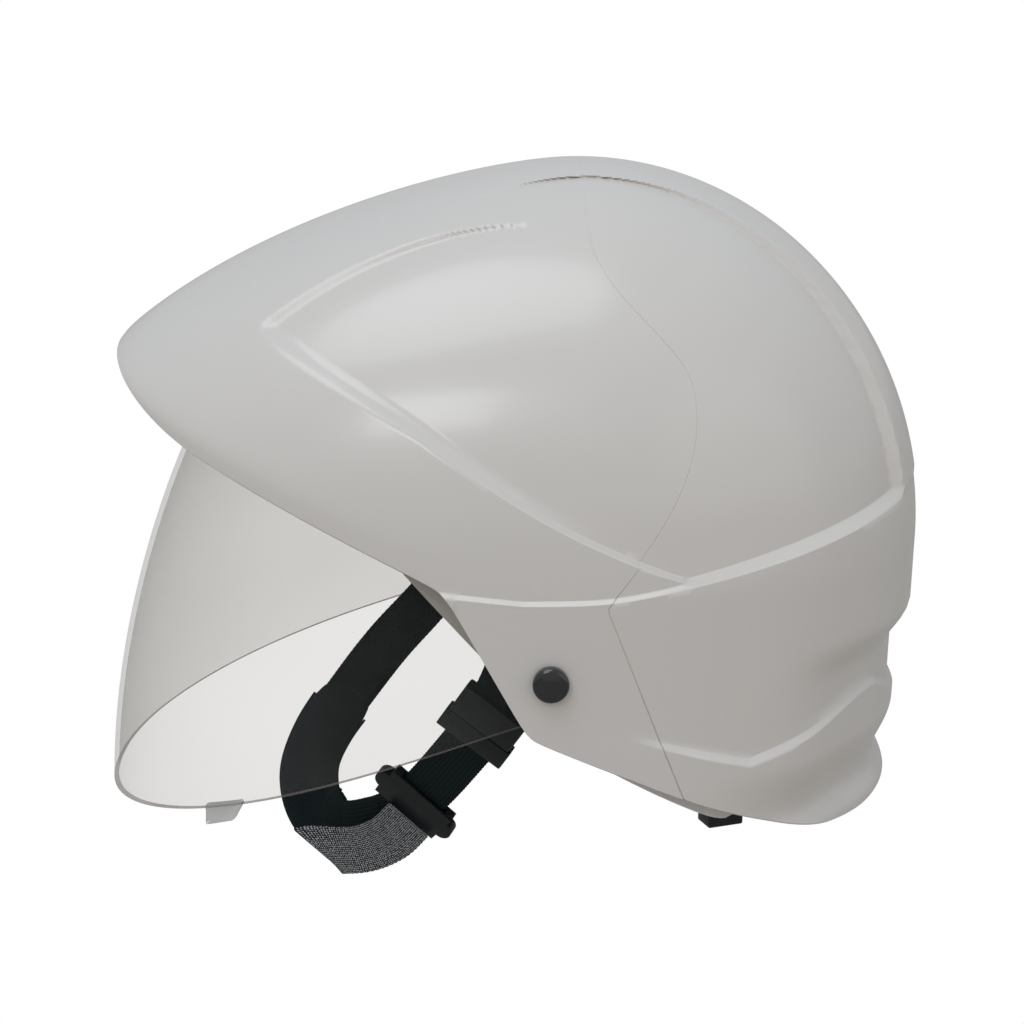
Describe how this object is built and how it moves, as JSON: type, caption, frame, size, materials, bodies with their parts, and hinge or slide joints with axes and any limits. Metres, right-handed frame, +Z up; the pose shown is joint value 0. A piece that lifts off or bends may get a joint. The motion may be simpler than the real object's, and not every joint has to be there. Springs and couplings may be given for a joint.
{
  "type": "electrician's hard hat with retractable face shield",
  "caption": "Two-part white safety helmet with a drawn brim, a clear face shield hinged at the ears, textile harness, nape ratchet and buckled chin strap.",
  "frame": {"origin": "centre of the wearer's head at headband level", "axes": "-Y to the front (brim tip), +X to the wearer's left, +Z up through the crown, with the helmet tipped back as it is in the picture"},
  "size_m": [0.244, 0.3134, 0.2765],
  "materials": {
    "shell_white": "gloss",
    "liner_grey": "satin",
    "clear_sheet": "clear",
    "gloss_black": "gloss",
    "black_plastic": "satin",
    "steel": "satin",
    "foam_fabric": "woven",
    "webbing": "woven",
    "woven_tail": "woven",
    "cup_fabric": "woven"
  },
  "bodies": {
    "helmet": {"front_shell": "shell_white", "rear_shell": "shell_white", "seam_strip": "liner_grey", "rear_spacers": "black_plastic", "inner_shell": "liner_grey", "pivot_pin_left": "steel", "pivot_pin_right": "steel", "pivot_cap_left": "gloss_black", "pivot_cap_right": "gloss_black", "pivot_washers": "black_plastic", "pivot_nuts": "steel", "headband": "black_plastic", "sweatband": "foam_fabric", "harness_hooks": "black_plastic", "crown_strap_a": "webbing", "crown_strap_b": "webbing", "crown_pad": "foam_fabric", "ratchet_housing": "black_plastic", "ratchet_cover": "black_plastic", "ratchet_screws": "steel", "nape_pad": "foam_fabric", "nape_strap": "webbing", "nape_clips": "black_plastic", "chin_rivet_left": "black_plastic", "chin_rivet_right": "black_plastic"},
    "face_shield": {"visor": "clear_sheet", "finger_tab": "clear_sheet"},
    "ratchet": {"ratchet_pinion": "black_plastic", "ratchet_knob": "black_plastic"},
    "left_band": {"rear_band_left": "black_plastic"},
    "right_band": {"rear_band_right": "black_plastic"},
    "strap": {"chin_strap_right": "webbing", "chin_cup": "cup_fabric", "ladder_lock": "black_plastic", "strap_tail": "woven_tail", "chin_strap_left": "webbing", "buckle_plug": "black_plastic"},
    "strap_left": {"anchor_strap_left": "webbing", "buckle_socket": "black_plastic"}
  },
  "joints": [
    {"name": "shield_hinge", "type": "hinge", "parent": "helmet", "child": "face_shield", "pos_m": [0, 0.0016, -0.0157], "axis": [-1, 0, 0], "range_deg": [0, 45]},
    {"name": "ratchet_turn", "type": "hinge", "parent": "helmet", "child": "ratchet", "pos_m": [0, 0.09448, -0.05035], "axis": [0, -0.9397, 0.342], "range_deg": [0, 114.59]},
    {"name": "left_band_slide", "type": "slide", "parent": "helmet", "child": "left_band", "axis": [-1, 0, 0], "range_m": [0, 0.01]},
    {"name": "right_band_slide", "type": "slide", "parent": "helmet", "child": "right_band", "axis": [1, 0, 0], "range_m": [0, 0.01]},
    {"name": "strap_swing", "type": "hinge", "parent": "helmet", "child": "strap", "pos_m": [0, -0.008, -0.002], "axis": [1, 0, 0], "range_deg": [-6, 12]},
    {"name": "strap_left_swing", "type": "hinge", "parent": "helmet", "child": "strap_left", "pos_m": [0, -0.008, -0.002], "axis": [1, 0, 0], "range_deg": [-6, 12]}
  ],
  "couplings": [
    {"joint": "left_band_slide", "follows": "ratchet_turn", "m_per_rad": 0.005},
    {"joint": "right_band_slide", "follows": "ratchet_turn", "m_per_rad": 0.005},
    {"joint": "strap_left_swing", "follows": "strap_swing", "ratio": 1}
  ]
}
